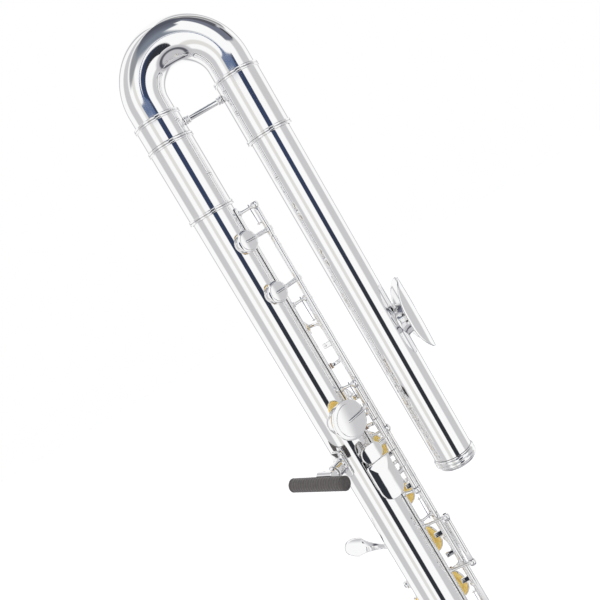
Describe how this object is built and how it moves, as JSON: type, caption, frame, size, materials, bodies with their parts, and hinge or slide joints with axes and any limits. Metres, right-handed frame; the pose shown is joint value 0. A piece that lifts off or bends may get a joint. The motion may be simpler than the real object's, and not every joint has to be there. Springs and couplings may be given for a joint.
{
  "type": "bass flute",
  "caption": "Bass flute: keyed body tube under a U-bend, straight head tube with lip plate, thumb and trill keys, spoon lever, black hand rest and open foot end.",
  "frame": {"origin": "centre of the foot's open end, on the axis of the body tube", "axes": "+Z along the body tube towards the U-bend, +X towards the head tube, -Y towards the thumb keys"},
  "size_m": [0.153, 0.0797, 0.972],
  "materials": {
    "silver": "bright silver plate",
    "satin_silver": "silver plate with a soft sheen",
    "steel": "ground steel",
    "pad_skin": "matt yellow skin over felt",
    "cork": "natural cork",
    "grip": "matt black"
  },
  "bodies": {
    "body": {"body_tube": "silver", "barrel": "silver", "main_rib": "satin_silver", "main_rod": "steel", "g_sharp_rib": "satin_silver", "g_sharp_rod": "steel", "hand_rest_base": "satin_silver"},
    "bend": {"bend_tenon_sleeve": "silver", "u_bend": "silver", "bend_socket_sleeve": "silver", "brace_strut": "silver"},
    "head": {"head_tube": "silver", "embouchure_riser": "silver", "lip_plate": "silver"},
    "crown": {"crown_cap": "silver"},
    "stopper": {"stopper_screw": "steel", "stopper_cork": "cork"},
    "foot": {"foot_tube": "silver", "foot_rib": "satin_silver", "foot_rod": "steel"},
    "c_sharp": {"c_sharp_key": "silver", "c_sharp_pad": "pad_skin"},
    "b_flat": {"b_flat_key": "silver", "b_flat_pad": "pad_skin"},
    "a": {"a_key": "silver", "a_pad": "pad_skin"},
    "g": {"g_key": "silver", "g_upper_pad": "pad_skin", "g_lower_pad": "pad_skin"},
    "f_sharp": {"f_sharp_key": "silver", "f_sharp_pad": "pad_skin"},
    "f": {"f_key": "silver", "f_pad": "pad_skin"},
    "e": {"e_key": "silver", "e_pad": "pad_skin"},
    "d": {"d_key": "silver", "d_pad": "pad_skin"},
    "d_sharp": {"d_sharp_key": "silver", "d_sharp_pad": "pad_skin"},
    "low_c_sharp": {"low_c_sharp_key": "silver", "low_c_sharp_pad": "pad_skin"},
    "low_c": {"low_c_key": "silver", "low_c_pad": "pad_skin"},
    "thumb": {"thumb_cup_key": "silver", "thumb_pad": "pad_skin", "thumb_rod": "steel", "thumb_touch": "silver"},
    "b_flat_thumb": {"b_flat_lever": "silver"},
    "trill_upper": {"trill_upper_key": "silver", "trill_upper_pad": "pad_skin", "trill_rod": "satin_silver", "trill_upper_touch": "silver"},
    "trill_lower": {"trill_lower_key": "silver", "trill_lower_pad": "pad_skin", "trill_lower_touch": "silver"},
    "side": {"side_lever": "silver"},
    "g_sharp": {"g_sharp_key": "silver", "g_sharp_pad": "pad_skin"},
    "hand_rest": {"hand_rest_arm": "satin_silver", "hand_rest_grip": "grip"}
  },
  "joints": [
    {"name": "bend_turn", "type": "hinge", "parent": "body", "child": "bend", "pos_m": [0, 0, 0.87], "axis": [0, 0, 1], "range_deg": [-30, 30]},
    {"name": "head_tuning_slide", "type": "slide", "parent": "bend", "child": "head", "axis": [0, 0, -1], "range_m": [0, 0.015]},
    {"name": "crown_turn", "type": "hinge", "parent": "head", "child": "crown", "pos_m": [0.0666, 0, 0.578], "axis": [0, 0, 1], "range_deg": [-180, 180]},
    {"name": "stopper_shift", "type": "slide", "parent": "head", "child": "stopper", "axis": [0, 0, 1], "range_m": [-0.00035, 0.00035]},
    {"name": "foot_turn", "type": "hinge", "parent": "body", "child": "foot", "pos_m": [0, 0, 0.25], "axis": [0, 0, 1], "range_deg": [-20, 20]},
    {"name": "c_sharp_hinge", "type": "hinge", "parent": "body", "child": "c_sharp", "pos_m": [0.02885, 0.00613, 0.722], "axis": [0, 0, 1], "range_deg": [0, 8], "stiffness_Nm_per_rad": 0.02, "springref_deg": -28.65},
    {"name": "b_flat_hinge", "type": "hinge", "parent": "body", "child": "b_flat", "pos_m": [0.02885, 0.00613, 0.611], "axis": [0, 0, 1], "range_deg": [0, 8], "stiffness_Nm_per_rad": 0.02, "springref_deg": -28.65},
    {"name": "a_hinge", "type": "hinge", "parent": "body", "child": "a", "pos_m": [0.02885, 0.00613, 0.568], "axis": [0, 0, 1], "range_deg": [0, 8], "stiffness_Nm_per_rad": 0.02, "springref_deg": -28.65},
    {"name": "g_hinge", "type": "hinge", "parent": "body", "child": "g", "pos_m": [0.02885, 0.00613, 0.4985], "axis": [0, 0, 1], "range_deg": [0, 8], "stiffness_Nm_per_rad": 0.02, "springref_deg": -28.65},
    {"name": "f_sharp_hinge", "type": "hinge", "parent": "body", "child": "f_sharp", "pos_m": [0.02885, 0.00613, 0.43], "axis": [0, 0, 1], "range_deg": [0, 8], "stiffness_Nm_per_rad": 0.02, "springref_deg": -28.65},
    {"name": "f_hinge", "type": "hinge", "parent": "body", "child": "f", "pos_m": [0.02885, 0.00613, 0.382], "axis": [0, 0, 1], "range_deg": [0, 8], "stiffness_Nm_per_rad": 0.02, "springref_deg": -28.65},
    {"name": "e_hinge", "type": "hinge", "parent": "body", "child": "e", "pos_m": [0.02885, 0.00613, 0.332], "axis": [0, 0, 1], "range_deg": [0, 8], "stiffness_Nm_per_rad": 0.02, "springref_deg": -28.65},
    {"name": "d_hinge", "type": "hinge", "parent": "body", "child": "d", "pos_m": [0.02885, 0.00613, 0.281], "axis": [0, 0, 1], "range_deg": [0, 8], "stiffness_Nm_per_rad": 0.02, "springref_deg": -28.65},
    {"name": "d_sharp_hinge", "type": "hinge", "parent": "foot", "child": "d_sharp", "pos_m": [0.02885, 0.00613, 0.213], "axis": [0, 0, 1], "range_deg": [-8, 0], "stiffness_Nm_per_rad": 0.02, "springref_deg": 28.65},
    {"name": "low_c_sharp_hinge", "type": "hinge", "parent": "foot", "child": "low_c_sharp", "pos_m": [0.02885, 0.00613, 0.151], "axis": [0, 0, 1], "range_deg": [0, 8], "stiffness_Nm_per_rad": 0.02, "springref_deg": -28.65},
    {"name": "low_c_hinge", "type": "hinge", "parent": "foot", "child": "low_c", "pos_m": [0.02885, 0.00613, 0.084], "axis": [0, 0, 1], "range_deg": [0, 8], "stiffness_Nm_per_rad": 0.02, "springref_deg": -28.65},
    {"name": "thumb_hinge", "type": "hinge", "parent": "body", "child": "thumb", "pos_m": [0.02726, -0.01046, 0.6535], "axis": [0, 0, 1], "range_deg": [-11, 0], "stiffness_Nm_per_rad": 0.02, "springref_deg": 28.65},
    {"name": "b_flat_thumb_hinge", "type": "hinge", "parent": "body", "child": "b_flat_thumb", "pos_m": [0.02726, -0.01046, 0.623], "axis": [0, 0, 1], "range_deg": [-8, 0], "stiffness_Nm_per_rad": 0.02, "springref_deg": 28.65},
    {"name": "trill_upper_hinge", "type": "hinge", "parent": "body", "child": "trill_upper", "pos_m": [0.0304, -0.00352, 0.804], "axis": [0, 0, 1], "range_deg": [0, 7], "stiffness_Nm_per_rad": 0.02, "springref_deg": -28.65},
    {"name": "trill_lower_hinge", "type": "hinge", "parent": "body", "child": "trill_lower", "pos_m": [0.0304, -0.00352, 0.7615], "axis": [0, 0, 1], "range_deg": [0, 7], "stiffness_Nm_per_rad": 0.02, "springref_deg": -28.65},
    {"name": "side_hinge", "type": "hinge", "parent": "body", "child": "side", "pos_m": [0.0359, -0.00895, 0.522], "axis": [0, 0, 1], "range_deg": [0, 8], "stiffness_Nm_per_rad": 0.02, "springref_deg": -28.65},
    {"name": "g_sharp_hinge", "type": "hinge", "parent": "body", "child": "g_sharp", "pos_m": [-0.01227, 0.01753, 0.499], "axis": [0.8192, 0.5736, 0], "range_deg": [0, 8.5], "stiffness_Nm_per_rad": 0.02, "springref_deg": -51.57},
    {"name": "hand_rest_swivel", "type": "hinge", "parent": "body", "child": "hand_rest", "pos_m": [0, 0, 0.623], "axis": [-0.7193, -0.6947, 0], "range_deg": [-25, 25]}
  ],
  "couplings": [
    {"joint": "b_flat_hinge", "follows": "a_hinge", "ratio": 1},
    {"joint": "f_sharp_hinge", "follows": "f_hinge", "ratio": 1},
    {"joint": "crown_turn", "follows": "stopper_shift", "rad_per_m": 8976}
  ]
}
